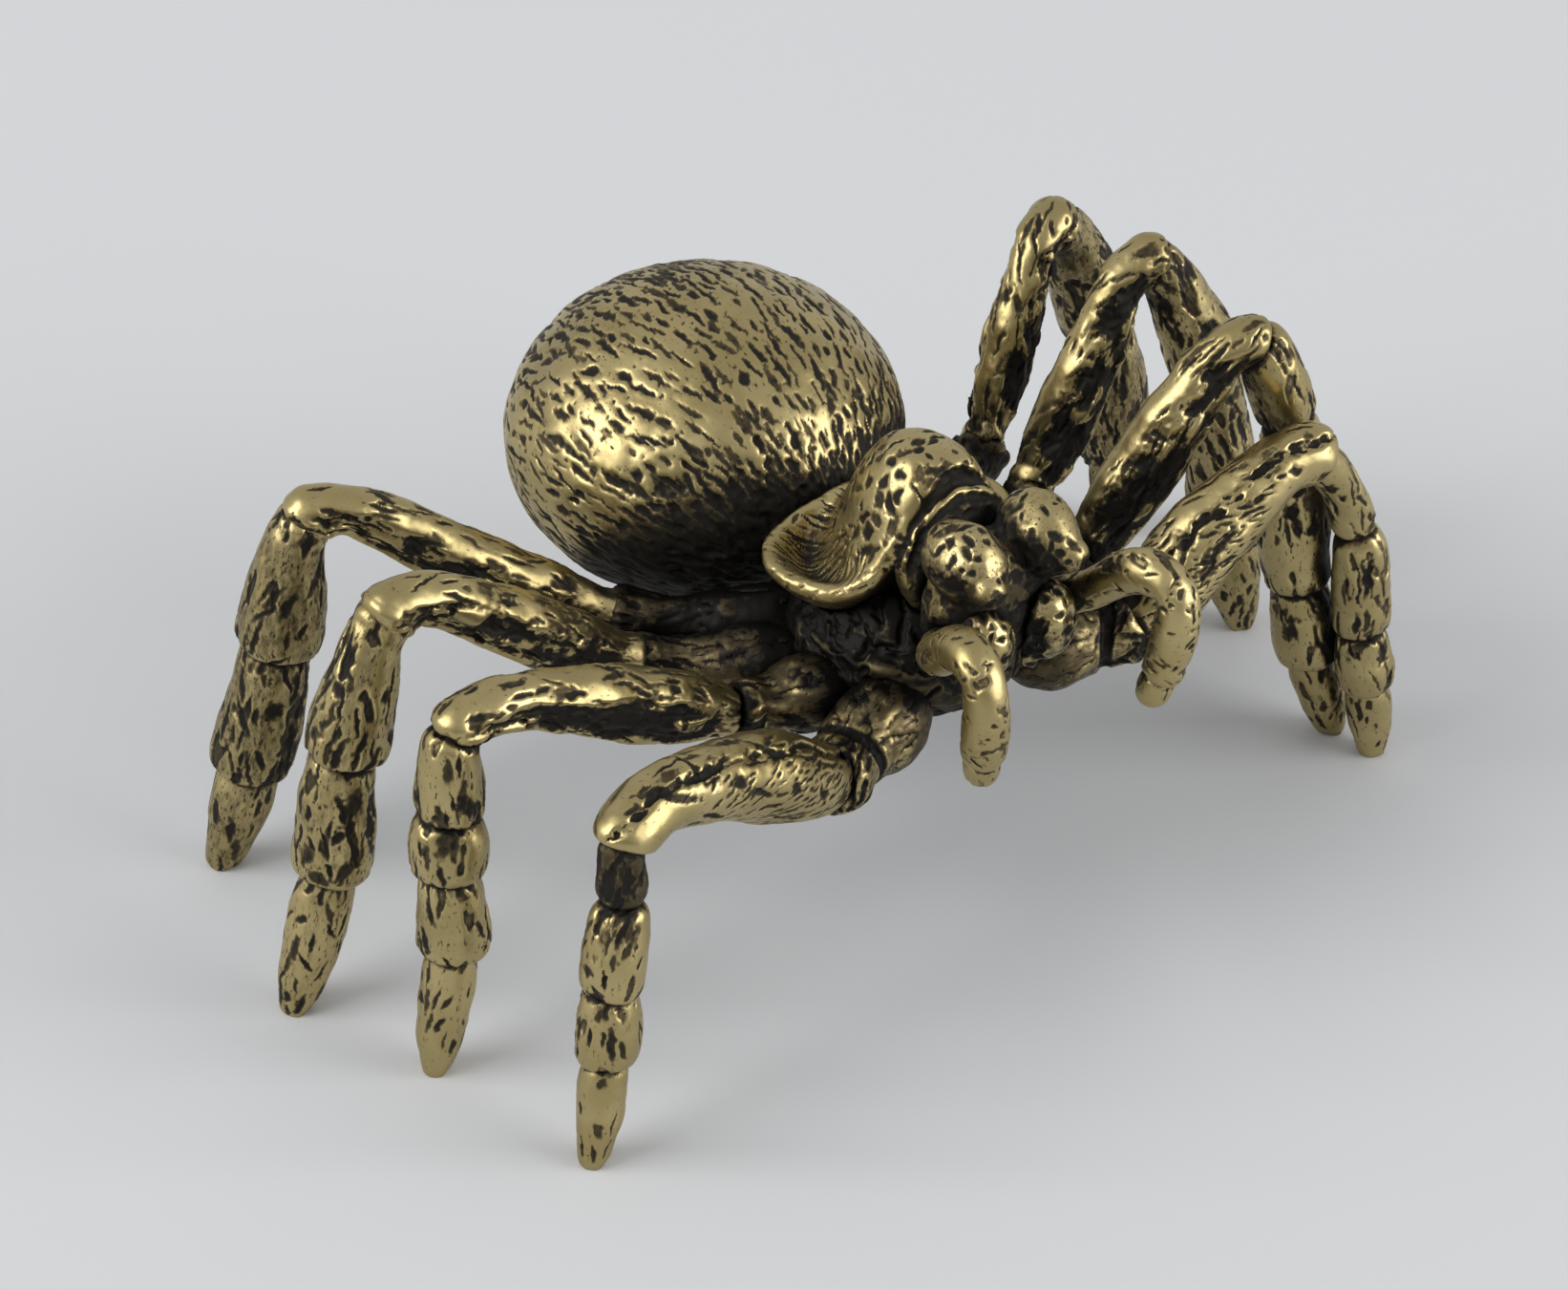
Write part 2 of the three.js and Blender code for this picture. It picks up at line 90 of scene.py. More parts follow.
TOE_DASH = Mark(spacing=0.42, length=1.5, width=0.42, depth=0.07, share=0.85, stray=0.3, gather=0.8)
SHIELD_PIT = Mark(spacing=0.58, length=1.1, width=0.66, depth=0.1, share=1.0, stray=0.7, gather=0.3)
DISH_LINE = Mark(
    spacing=0.36, length=1.8, width=0.19, depth=0.08, share=0.95, stray=0.12, gather=0.2, stain=0.5)
RIM_PIT = Mark(spacing=0.6, length=0.7, width=0.4, depth=0.08, share=0.6, stray=1.5, gather=0.5)
HEAD_PIT = Mark(spacing=0.5, length=0.8, width=0.56, depth=0.09, share=0.9, stray=1.5, gather=0.5)
PALP_PIT = Mark(spacing=0.42, length=0.8, width=0.36, depth=0.06, share=0.9, stray=1.0, gather=0.6)
CORE_DASH = Mark(spacing=0.8, length=1.6, width=0.55, depth=0.25, share=0.9, stray=0.6, gather=0.3)

# How single marks vary: ranges of length, width and strength, the wobble and the ragged edge with the size
# of their swells, the size of the patches that marks gather in, and the rise from the bottom to the edge
LENGTH_RANGE = (0.4, 1.5)
WIDTH_RANGE = (0.5, 1.35)
STRENGTH_RANGE = (0.5, 1.0)
WOBBLE = 0.3
WOBBLE_SIZE = 0.6
RAGGED = 0.3
RAGGED_SIZE = 0.3
PATCH_SIZE = 2.4
PATCH_FADE = (-0.3, 0.25)
EDGE_FADE = (0.35, 1.1)

# Finding marks: the grid that thins random places, as a share of their spacing, how far round a mark points
# are looked for, and how much they face its way
SEED_CELL = 0.7
FIND_SHARE = 1.3
FIND_MARGIN = 0.1
SAME_SIDE = 0.2

# One kind of streak dragged along a piece: width, depth, the level of noise that it starts at, and how dark
# it comes out. Then the share of finer noise in it, and how far above its level a streak is full.
Streak = namedtuple("Streak", "width depth level stain")
LEG_STREAK = Streak(width=0.45, depth=0.12, level=0.02, stain=0.45)
SHIN_STREAK = Streak(width=0.8, depth=0.1, level=0.3, stain=0.4)
HEAD_STREAK = Streak(width=0.9, depth=0.14, level=0.15, stain=0.8)
CORE_STREAK = Streak(width=1.3, depth=0.4, level=-0.1, stain=1.0)
PALP_STREAK = Streak(width=0.7, depth=0.08, level=0.25, stain=0.5)
FINE_STREAK = 0.5
STREAK_RISE = 0.3

# How much longer than wide the streaks are on the abdomen, on the legs and palps, and on the body's core
ABDOMEN_STRETCH = 2.3
LEG_STRETCH = 2.8
CORE_STRETCH = 2.5

# Uneven swells of the cast surface, as distance between swells and height, and how strong they are on a piece
CAST_SWELLS = ((3.2, 0.1), (1.3, 0.042), (0.45, 0.008))
ABDOMEN_SWELL = 1.2
CORE_SWELL = 1.6
CARAPACE_SWELL = 0.9
HEAD_SWELL = 1.8
PALP_SWELL = 0.8
ROOT_SWELL = 2.8
LINK_SWELL = 1.5

# Steps from a piece's own seed to the draws for a kind of mark, for each millimetre of its length, and to the
# noise of its marks, patches, streaks, hollows and crease
MARK_SEED = 1000
WOBBLE_SEED = 7
RAGGED_SEED = 8
PATCH_SEED = 9
STREAK_SEED = 11
FINE_STREAK_SEED = 12
FLUTE_SEED = 13
CREASE_SEED = 14

# Places along the middle of a long piece, and how many points show its axis well enough
MIDDLE_PLACES = 9
AXIS_POINTS = 2000

# Most that the strokes on a piece slant off its length, and the slant of the hatching on the front femurs
SLANT = math.radians(25)
HATCH_SLANT = {"right": math.radians(32), "left": math.radians(-32)}

# Abdomen: direction of the painted shade and patina under its front, dashes thinned towards the rear, cuts at
# the front
ABDOMEN_UNDER = (-0.35, -0.75, -0.56)
REAR_THINNING = 0.7
REAR_FADE = (0.55, 0.95)
CUT_FADE = (0.35, 0.6)

# Carapace: the dome by its height, the rim by its distance out, the dish by how far it faces up, and how
# far ahead of the middle the lines spread from
DOME_FADE = (-0.3, 0.1)
RIM_FADE = (0.86, 0.96)
RIM_POWER = 3
DISH_FADE = (0.1, 0.4)
SPREAD_AHEAD = (0.0, 1.5, 0.0)

# The band across the front of the carapace between two grooves: how far the rear groove lies behind the
# front end, the band's width, the grooves' depth and edges, and how far they wander
BAND_BEHIND = 1.3
BAND_WIDTH = 0.75
BAND_GROOVE = 0.22
GROOVE_FADE = (0.08, 0.26)
BAND_WANDER = 0.1
BAND_WANDER_SIZE = 1.2

# Hollow flanks of the femurs: by how far they face sideways and down, where they run along the femur, and
# the breaks in them
FLUTED_LEGS = (2, 3, 4)
FLUTE_DEPTH = 0.3
# Painted shade and patina in the hollow flanks and creases of the femurs
FLUTE_SHADE_AND_PATINA = 0.15
FLUTE_SIDE_FADE = (0.45, 0.7)
FLUTE_LOW_FADE = (0.5, 0.15)
FLUTE_START_FADE = (0.02, 0.15)
FLUTE_END_FADE = (0.96, 0.83)
BREAK_FADE = (-0.7, -0.1)
BREAK_SIZE = 0.9

# The crease along the other femurs, by its turn from the top of the leg, its edges and how far it wanders
CREASE_TURN = math.radians(32)
CREASE_DEPTH = 0.12
CREASE_FADE = (0.06, 0.2)
CREASE_WANDER = 0.15
CREASE_WANDER_SIZE = 1.2

# Hatching on the body half of those femurs, away from their tops, and the share of dashes left there.
# Dashes are thinned near the knees and on the other links too.
HATCH_FADE = (0.8, 0.45)
HATCH_SIDE_FADE = (0.8, 0.5)
HATCH_THINNING = 0.6
HATCHED_DASHES = 0.7
KNEE_THINNING = 0.6
KNEE_FADE = (0.75, 0.9)
SHIN_DASHES = 0.7

# How far the roots, the core and the body ends of the front femurs are fattened, so that they close up
FATTENING = 0.5
CORE_FAT_FADE = (0.6, 0.1)
ROOT_FAT_FADE = (0.8, 0.3)
FEMUR_FATTENING = 0.3
FEMUR_FAT_FADE = (0.5, 0.1)

# The ring at the end of the front roots, as a share of the way out
RINGED_PAIR = 1
RING_PLACE = 0.68
RING_GROOVE = 0.2
RING_FADE = (0.02, 0.06)

# Legs whose first links run smoothly into one another, the bulge that hides seams and how far it reaches,
# and the crease where a palp's arm meets its tip
SMOOTH_LEGS = (3, 4)
SMOOTH_LINKS = ("root", "femur", "tibia")
BULGE = 0.28
BULGE_START = 0.2
BULGE_REACH = 1.1
PALP_CREASE = 0.2
PALP_SEAM_FADE = (0.3, 0.5)

# Darkening on each pair of legs, front to rear, at the body end of a root, on one narrow patella, on the head
# and along its middle; painted shade on the head's lower faces; the core's dark finish with painted shade;
# painted shade and patina under the abdomen; darkening on the collar. The jaws, the rim and the dish are
# below 0:
# they come out lighter than the painted shade of their shelter would leave them.
PAIR_DARKENING = {1: 0.05, 2: 0.1, 3: 0.24, 4: 0.34}
ROOT_DARKENING = {1: 0.42, 2: 0.38, 3: 0.3, 4: 0.3}
ROOT_GRIME_FADE = (0.7, 0.2)
DARK_PATELLA = "leg_1_right_patella"
PATELLA_GRIME = 0.6
HEAD_GRIME = 0.2
JAW_GRIME = -0.35
LOW_FACE_SHADE = 0.4
LOW_FADE = (0.6, -0.1)
MIDDLE_GRIME = 0.2
MIDDLE_FADE = (1.7, 0.7)
CORE_DARK_AND_SHADE = 0.5
UNDER_SHADE_AND_PATINA = 0.9
UNDER_FADE = (0.52, 0.76)
BELLY_SHADE_AND_PATINA = 0.25
BELLY_FADE = (0.1, -0.7)
COLLAR_GRIME = 0.5
COLLAR_FADE = (BAND_BEHIND - BAND_WIDTH, BAND_BEHIND - BAND_WIDTH - 0.3)
RIM_GRIME = -0.15
DISH_GRIME = -0.25

# How the dark finish builds up: in the marks and a halo round them, in fine hollows and not on fine ridges,
# in broad hollows and in seams; sheltered places get painted shade along with the patina kept there
MARK_WEIGHT = 0.5
HALO_WEIGHT = 0.45
HALO_PASSES = 9
FINE_WEIGHT = 12
FINE_PASSES = 3
FINE_LIMITS = (-0.025, 0.03)
BROAD_WEIGHT = 5
BROAD_PASSES = 24
BROAD_START = 0.01
BROAD_LIMITS = (0, 0.1)
SEAM_WEIGHT = 0.55
SEAM_START = 0.15
SEAM_REACH = 0.6
SHELTER_SHADE_WEIGHT = 2.0
SHELTER_START = 0.3
SHELTER_REACH = 7.0
SHELTER_RAYS = 24
SHELTER_STEP = 24
SHELTER_LIFT = 0.2
SHELTER_MIX = 3

# Turn from each ray of the shelter to the next, and the way that their sides point where a normal is steep
GOLDEN_TURN = math.pi * (3 - math.sqrt(5))
STEEP = 0.9
ASIDE = (0.6, 0.8, 0.0)

# One finish of the metal: its material, how far the dark is worn back, how rough the bare brass is and how
# bright the dark colour is. A piece takes the one for its slot.
Finish = namedtuple("Finish", "material wear rough tint")
FINISHES = {
    "antique_brass": Finish(material="antique_brass_metal", wear=0.68, rough=0.35, tint=1.25),
    "polished_brass": Finish(material="polished_brass_metal", wear=0.72, rough=0.39, tint=1.6),
    # The darkened finish's dark colour is made darker still, a painted shade on the pieces that take it
    "darkened_brass": Finish(material="darkened_brass_metal", wear=0.36, rough=0.24, tint=0.4),
}

# The metal: sway of the dark's edge, specks of dark, the brown edge, the full dark and the dulling on
# either side of the wear, the cloudy tone of the brass, how metallic the dark is and the height of the grit
STAIN_SWAY = 0.7
SPECK_FADE = (0.56, 0.72)
SPECK_DARK = 0.4
THIN_EDGE = (-0.22, 0.16)
THICK_EDGE = (0.02, 0.6)
DULL_EDGE = (-0.3, 0.4)
DULLING = 0.3
TONE_FADE = (0.35, 0.7)
DARK_METALLIC = 0.8
GRIT_HEIGHT = 0.02

# Stage, in metres: lamps as name, place, size and watts, the floor, the direction that the soft sky is
# strongest from, its tint and how it fades, the photograph's width in pixels and the sensor's width for it
LAMPS = (
    ("window_left", (-1.22, 0.42, 0.86), 1.1, 17.6),
    ("window_right", (0.82, -1.114, 0.536), 1.0, 14.4),
)
FLOOR_SIZE = 6
SKY_BACK = (0.35, 0.45, 0.82)
SKY_TINT = (0.97, 0.98, 1.0, 1)
SKY_FADE = (-0.7, 0.5)
PHOTO_WIDTH = 1642
SENSOR_WIDTH = 36

# Noise: numbers that scramble a grid cell and a seed, and the gain that brings it to about -1 to 1
HASH = (73856093, 19349663, 83492791)
SEED_HASH = 40503
MIX_HASH = 1274126177
NOISE_GAIN = 1.7


class CastingSizes(bpy.types.PropertyGroup):
    """Sizes of the finished casting"""

    grain: FloatProperty(
        name="Grain", description="Edge of a face on a finished piece", default=0.1 * MM, unit="LENGTH")
    abdomen_grain: FloatProperty(
        name="Abdomen grain", description="Edge of a face on the abdomen", default=0.134 * MM,
        unit="LENGTH")
    fill: FloatProperty(
        name="Fill", description="Solder that closes the seams from each side", default=0.16 * MM,
        unit="LENGTH")
    chase: FloatProperty(
        name="Chasing", description="Depth of the chased marks as a share of the usual", default=1.0,
        subtype="FACTOR")


class FinishColours(bpy.types.PropertyGroup):
    """Colours of the metal"""

    brass: FloatVectorProperty(
        name="Brass", description="Worn brass on the high spots", default=(0.39, 0.312, 0.140),
        subtype="COLOR")
    bright: FloatVectorProperty(
        name="Bright brass", description="Brass rubbed bright", default=(0.51, 0.413, 0.198),
        subtype="COLOR")
    dark: FloatVectorProperty(
        name="Dark finish", description="Oxide left in the marks", default=(0.016, 0.014, 0.011),
        subtype="COLOR")
    brown: FloatVectorProperty(
        name="Brown finish", description="Thin oxide round the marks", default=(0.11, 0.085, 0.045),
        subtype="COLOR")


class StageSettings(bpy.types.PropertyGroup):
    """Floor, sky and camera"""

    floor: FloatVectorProperty(
        name="Floor", description="Colour of the floor", default=(0.585, 0.595, 0.605), subtype="COLOR")
    sky: FloatProperty(
        name="Sky", description="Strength of the light from above and behind", default=0.62)
    front_sky: FloatProperty(
        name="Front sky", description="Strength of the light from the front", default=0.22)
    camera_place: FloatVectorProperty(
        name="Camera", description="Place of the camera", default=(-0.11024, -0.13777, 0.13866),
        subtype="TRANSLATION")
    camera_turn: FloatVectorProperty(
        name="Camera turn", description="Tilt, roll and turn of the camera",
        default=tuple(math.radians(angle) for angle in (53.874, -1.220, -37.297)), subtype="EULER")
    focal_pixels: FloatProperty(
        name="Focal length", description="Focal length in pixels of the photograph's width", default=4575)


# Meshes
def only(piece):
    """Makes the piece the whole selection."""
    bpy.ops.object.select_all(action="DESELECT")
    piece.select_set(True)
    bpy.context.view_layer.objects.active = piece


def modify(piece, kind, **values):
    """Adds a modifier to the piece and applies it."""
    modifier = piece.modifiers.new(kind, kind)
    for name, value in values.items():
        setattr(modifier, name, value)
    bpy.ops.object.modifier_apply(modifier=modifier.name)


def welded_copy(node):
    """A copy of a CAD node with its corners merged, in millimetres."""
    piece = bpy.data.objects.new("cast_" + node, frame["nodes"][node].data.copy())
    bpy.context.scene.collection.objects.link(piece)
    piece.data.materials.clear()
    only(piece)
    piece.scale = (1 / MM,) * 3
    bpy.ops.object.transform_apply(location=False, rotation=False, scale=True)
    bpy.ops.object.mode_set(mode="EDIT")
    bpy.ops.mesh.select_all(action="SELECT")
    bpy.ops.mesh.remove_doubles(threshold=WELD)
    bpy.ops.mesh.tris_convert_to_quads(face_threshold=QUAD_ANGLE, shape_threshold=QUAD_ANGLE)
    bpy.ops.object.mode_set(mode="OBJECT")
    return piece


def cast(node, rounding=2, grain=None, smoothing=4):
    """The node as a smooth casting of even small faces, in millimetres."""
    sizes = bpy.context.scene.spider_sizes
    piece = welded_copy(node)
    if rounding:
        modify(piece, "SUBSURF", levels=rounding, render_levels=rounding)
    modify(piece, "DISPLACE", strength=sizes.fill / MM, mid_level=0)
    modify(piece, "REMESH", mode="VOXEL", voxel_size=(grain or sizes.grain) / MM)
    modify(piece, "SMOOTH", factor=0.5, iterations=smoothing)
    return piece


def points_of(mesh):
    points = np.empty(len(mesh.vertices) * 3, np.float32)
    mesh.vertices.foreach_get("co", points)
    return points.reshape(-1, 3).astype(float)


def normals_of(mesh):
    normals = np.empty(len(mesh.vertices) * 3, np.float32)
    mesh.vertex_normals.foreach_get("vector", normals)
    return normals.reshape(-1, 3).astype(float)


def put_points(mesh, points):
    mesh.vertices.foreach_set("co", points.astype(np.float32).ravel())
    mesh.update()


def tree_of(points):
    tree = KDTree(len(points))
    for index, point in enumerate(points):
        tree.insert(point, index)
    tree.balance()
    return tree


def smoothstep(start, full, values):
    """A smooth share, 0 at the start and 1 where it is full; the start may be the larger number."""
    share = np.clip((values - start) / (full - start), 0, 1)
    return share * share * (3 - 2 * share)


def unit(vectors):
    return vectors / np.maximum(np.linalg.norm(vectors, axis=-1, keepdims=True), 1e-9)


def noise(points, cell, seed):
    """Smooth noise from about -1 to 1 with about one swell per cell."""
    grid = points / cell
    base = np.floor(grid).astype(np.int64)
    part = grid - base
    share = part**3 * (part * (part * 6 - 15) + 10)
    total = np.zeros(len(points))
    for corner in itertools.product((0, 1), repeat=3):
        key = ((base + corner) * HASH).sum(1) + seed * SEED_HASH
        key = (key ^ (key >> 13)) * MIX_HASH
        key = key ^ (key >> 16)
        slopes = np.stack([(key >> shift & 255) / 127.5 - 1 for shift in (0, 8, 16)], 1)
        total += ((part - corner) * slopes).sum(1) * np.where(corner, share, 1 - share).prod(1)
    return NOISE_GAIN * total


def seed_of(name):
    """A number of its own for each piece, the same on every run."""
    return sum((place + 1) * ord(letter) for place, letter in enumerate(name))


def soup_of(nodes):
    """The corners, in millimetres, and triangles of some CAD nodes together."""
    corners = []
    faces = []
    for node in nodes:
        mesh = frame["nodes"][node].data
        start = len(corners)
        corners += [vertex.co / MM for vertex in mesh.vertices]
        faces += [[start + corner for corner in face.vertices] for face in mesh.polygons]
    return corners, faces


# The whole construction model, which shelters a piece, and the middle of the body seen from above
WHOLE = BVHTree.FromPolygons(*soup_of(frame["nodes"]))
BODY_MIDDLE = np.mean(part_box("thorax"), axis=0)[:2] / MM


# Directions on a piece
def drawn_out(points, flow, stretch):
    """The points squeezed along a flow, so that even noise there comes out as streaks."""
    offset = points - points.mean(0)
    return offset - (1 - 1 / stretch) * flow * (offset * flow).sum(1, keepdims=True)


def drawn_round(points, pole, stretch):
    """The points of a round body unrolled about the pole, so that streaks run towards it."""
    offset = points - points.mean(0)
    axis = unit(pole - points.mean(0))
    side = unit(np.cross(axis, UP))
    across = np.stack([offset @ side, offset @ np.cross(axis, side)], 1)
    radius = np.linalg.norm(offset, axis=1)
    polar = np.arccos(np.clip((offset @ axis) / radius, -1, 1))
    return np.column_stack([radius[:, None] * unit(across), radius * polar / stretch])


def middle_line(points):
    """Places along the middle of a long piece, from end to end, and the directions there."""
    centre = points.mean(0)
    few = points[:: max(1, len(points) // AXIS_POINTS)]
    axis = np.linalg.svd(few - centre, full_matrices=False)[2][0]
    run = (points - centre) @ axis
    edges = np.linspace(run.min(), run.max(), MIDDLE_PLACES + 1)
    slots = np.clip(np.searchsorted(edges, run) - 1, 0, MIDDLE_PLACES - 1)
    line = np.array([points[slots == slot].mean(0) for slot in range(MIDDLE_PLACES)])
    return line, unit(np.gradient(line, axis=0))


def lengthwise(points):
    """The direction along a long piece at each of its points."""
    line, directions = middle_line(points)
    nearest = np.argmin(((points[:, None, :] - line[None]) ** 2).sum(2), axis=1)
    return directions[nearest]


def slanted(piece, flow, angle=None):
    """The flow turned on the surface by an angle, or by one of the piece's own."""
    if angle is None:
        angle = np.random.default_rng(seed_of(piece.name)).uniform(-SLANT, SLANT)
    return flow * math.cos(angle) + np.cross(normals_of(piece.data), flow) * math.sin(angle)


# Surface
def lift(piece, heights):
    """Moves each point of the piece out along its normal, or in where its height is below 0."""
    put_points(piece.data, points_of(piece.data) + normals_of(piece.data) * heights[:, None])


def swell(piece, scale):
    """Uneven swells of a casting made from hand-worked wax."""
    points = points_of(piece.data)
    seed = seed_of(piece.name)
    lift(piece, scale * sum(height * noise(points, cell, seed + step)
                            for step, (cell, height) in enumerate(CAST_SWELLS)))


def spread_seeds(drawn, spacing, rng):
    """Points picked at random that keep about the spacing from one another."""
    order = rng.permutation(len(drawn))
    cells = np.floor(drawn[order] / (SEED_CELL * spacing)).astype(int)
    picks = order[np.sort(np.unique(cells, axis=0, return_index=True)[1])]
    tree = tree_of(drawn[picks])
    free = np.ones(len(picks), bool)
    for row, pick in enumerate(picks):
        if free[row]:
            free[[hit[1] for hit in tree.find_range(drawn[pick], spacing)]] = False
            free[row] = True
    return picks[free]


def chase(piece, mark, flow, drawn, where=None):
    """Presses marks into the piece along a flow, and returns how dark each point of them is, 0 to 1."""
    points = points_of(piece.data)
    normals = normals_of(piece.data)
    own_seed = seed_of(piece.name)
    rng = np.random.default_rng(own_seed + int(MARK_SEED * mark.length))
    tree = tree_of(points)
    wobble = WOBBLE * mark.width * noise(points, WOBBLE_SIZE, own_seed + WOBBLE_SEED)
    ragged = 1 + RAGGED * noise(points, RAGGED_SIZE, own_seed + RAGGED_SEED)
    seeds = spread_seeds(drawn, mark.spacing, rng)
    patches = smoothstep(*PATCH_FADE, noise(points[seeds], PATCH_SIZE, own_seed + PATCH_SEED))
    chance = mark.share * (1 - mark.gather + mark.gather * patches)
    if where is not None:
        chance = chance * where[seeds]
    seeds = seeds[rng.random(len(seeds)) < chance]
    along = flow[seeds] + mark.stray * rng.standard_normal((len(seeds), 3))
    along = unit(along - normals[seeds] * (along * normals[seeds]).sum(1, keepdims=True))
    across = np.cross(normals[seeds], along)
    lengths = mark.length * rng.uniform(*LENGTH_RANGE, len(seeds)) / 2
    widths = mark.width * rng.uniform(*WIDTH_RANGE, len(seeds)) / 2
    lengths = np.maximum(lengths, widths)
    strengths = rng.uniform(*STRENGTH_RANGE, len(seeds))
    depth = np.zeros(len(points))
    for seed, run, side, length, width, strength in zip(seeds, along, across, lengths, widths, strengths):
        hits = tree.find_range(points[seed], FIND_SHARE * length + FIND_MARGIN)
        found = np.array([hit[1] for hit in hits])
        offset = points[found] - points[seed]
        facing = (normals[found] @ normals[seed]) > SAME_SIDE
        reach = ragged[found] * np.hypot(offset @ run / length, (offset @ side + wobble[found]) / width)
        press = strength * (1 - smoothstep(*EDGE_FADE, reach)) * facing
        depth[found] = np.maximum(depth[found], press)
    lift(piece, -mark.depth * bpy.context.scene.spider_sizes.chase * depth)
    return mark.stain * depth


def drag(piece, streak, drawn, where=1.0):
    """Drags streaks into the piece, and returns how dark each point of them is, 0 to 1."""
    own_seed = seed_of(piece.name)
    height = noise(drawn, streak.width, own_seed + STREAK_SEED)
    height += FINE_STREAK * noise(drawn, streak.width / 2, own_seed + FINE_STREAK_SEED)
    depth = smoothstep(streak.level, streak.level + STREAK_RISE, height) * where
    lift(piece, -streak.depth * depth)
    return streak.stain * depth


def gaps_to(points, nodes, reach):
    """How far each point lies from some CAD nodes, up to a reach."""
    tree = BVHTree.FromPolygons(*soup_of(nodes))
    gaps = [tree.find_nearest(point, reach)[3] for point in points]
    return np.array([reach if gap is None else gap for gap in gaps])


def bulge(piece, neighbours):
    """Swells the piece where it meets its neighbours, to hide the seams, and returns the gaps to them."""
    gaps = gaps_to(points_of(piece.data), neighbours, BULGE_REACH)
    lift(piece, BULGE * (1 - smoothstep(BULGE_START, BULGE_REACH, gaps)))
    return gaps


def flute(piece, flow, drawn):
    """Hollows the flanks of a femur between its upper and lower ridges, and returns how hollow they are."""
    points = points_of(piece.data)
    normals = normals_of(piece.data)
    sideways = unit(np.cross(flow, UP))
    flank = smoothstep(*FLUTE_SIDE_FADE, np.abs((normals * sideways).sum(1)))
    flank = flank * smoothstep(*FLUTE_LOW_FADE, normals[:, 2])
    run = ((points - points.mean(0)) * flow.mean(0)).sum(1)
    share = (run - run.min()) / np.ptp(run)
    middle = smoothstep(*FLUTE_START_FADE, share) * smoothstep(*FLUTE_END_FADE, share)
    uneven = smoothstep(*BREAK_FADE, noise(drawn, BREAK_SIZE, seed_of(piece.name) + FLUTE_SEED))
    depth = flank * middle * uneven
    lift(piece, -FLUTE_DEPTH * depth)
    return depth


def crease(piece, flow, drawn):
    """Creases the front of a femur under its upper edge, and returns how deep each point lies in it."""
    normals = normals_of(piece.data)
    sideways = unit(np.cross(flow, UP))
    sideways = sideways * -np.sign(sideways[:, 1:2])
    turn = np.arctan2((normals * sideways).sum(1), normals[:, 2])
    turn += CREASE_WANDER * noise(drawn, CREASE_WANDER_SIZE, seed_of(piece.name) + CREASE_SEED)
    depth = 1 - smoothstep(*CREASE_FADE, np.abs(turn - CREASE_TURN))
    lift(piece, -CREASE_DEPTH * depth)
    return depth


# Dark finish
def neighbours_mean(mesh, values):
    """The mean of the values of each point's neighbours."""
    ends = np.empty(len(mesh.edges) * 2, np.int32)
    mesh.edges.foreach_get("vertices", ends)
    ends = ends.reshape(-1, 2)
    count = np.bincount(ends.ravel(), minlength=len(mesh.vertices))
    total = np.zeros_like(values)
    for column in range(values.shape[1]):
        total[:, column] = np.bincount(ends[:, 0], values[ends[:, 1], column], len(count))
        total[:, column] += np.bincount(ends[:, 1], values[ends[:, 0], column], len(count))
    return total / np.maximum(count, 1)[:, None]


def softened(mesh, values, passes):
    """The values evened out with those of the points around, once for each pass."""
    for _ in range(passes):
        values = neighbours_mean(mesh, values)
    return values


def hollowness(piece, passes):
    """How hollow the surface is at each point: above 0 in grooves, below 0 on ridges."""
    points = points_of(piece.data)
    rounded = softened(piece.data, points, passes)
    return ((rounded - points) * normals_of(piece.data)).sum(1)


def seam_shade(points, node, hidden):
    """How close each point lies to a neighbouring piece, from 0 in the open to 1 in the seam."""
    others = [name for name in frame["nodes"] if name not in (node, *hidden)]
    return 1 - smoothstep(SEAM_START, SEAM_REACH, gaps_to(points, others, SEAM_REACH))


def shelter(points, normals):
    """How far metal closes off the space over each point, from 0 to 1, spread from every few points."""
    picks = np.arange(0, len(points), SHELTER_STEP)
    turns = np.arange(SHELTER_RAYS) * GOLDEN_TURN
    rise = (np.arange(SHELTER_RAYS) + 0.5) / SHELTER_RAYS
    flat = np.sqrt(1 - rise**2)
    rays = np.stack([flat * np.cos(turns), flat * np.sin(turns), rise], 1)
    closed = np.zeros(len(picks))
    for row, pick in enumerate(picks):
        normal = normals[pick]
        side = unit(np.cross(normal, ASIDE if abs(normal[2]) > STEEP else UP))
        out = rays @ np.stack([side, np.cross(normal, side), normal])
        start = Vector(points[pick] + SHELTER_LIFT * normal)
        hits = [WHOLE.ray_cast(start, ray, SHELTER_REACH)[0] for ray in map(Vector, out)]
        closed[row] = sum(hit is not None for hit in hits)
    tree = tree_of(points[picks])
    near = min(SHELTER_MIX, len(picks))
    spread = np.array([[hit[1] for hit in tree.find_n(point, near)] for point in points])
    return closed[spread].mean(1) / SHELTER_RAYS


# Materials
def node_of(tree, kind, **values):
    """A new shader node with its settings and unlinked inputs."""
    node = tree.nodes.new(kind)
    for name, value in values.items():
        if name in node.bl_rna.properties:
            setattr(node, name, value)
        else:
            node.inputs[name.replace("_", " ").title()].default_value = value
    return node


def mix_colour(tree, factor, first, second):
    """A colour mix of two sockets or plain colours."""
    node = tree.nodes.new("ShaderNodeMix")
    node.data_type = "RGBA"
    tree.links.new(factor, node.inputs["Factor"])
    for socket, value in ((node.inputs[6], first), (node.inputs[7], second)):
        if isinstance(value, bpy.types.NodeSocket):
            tree.links.new(value, socket)
        else:
            socket.default_value = (*value, 1)
    return node.outputs[2]


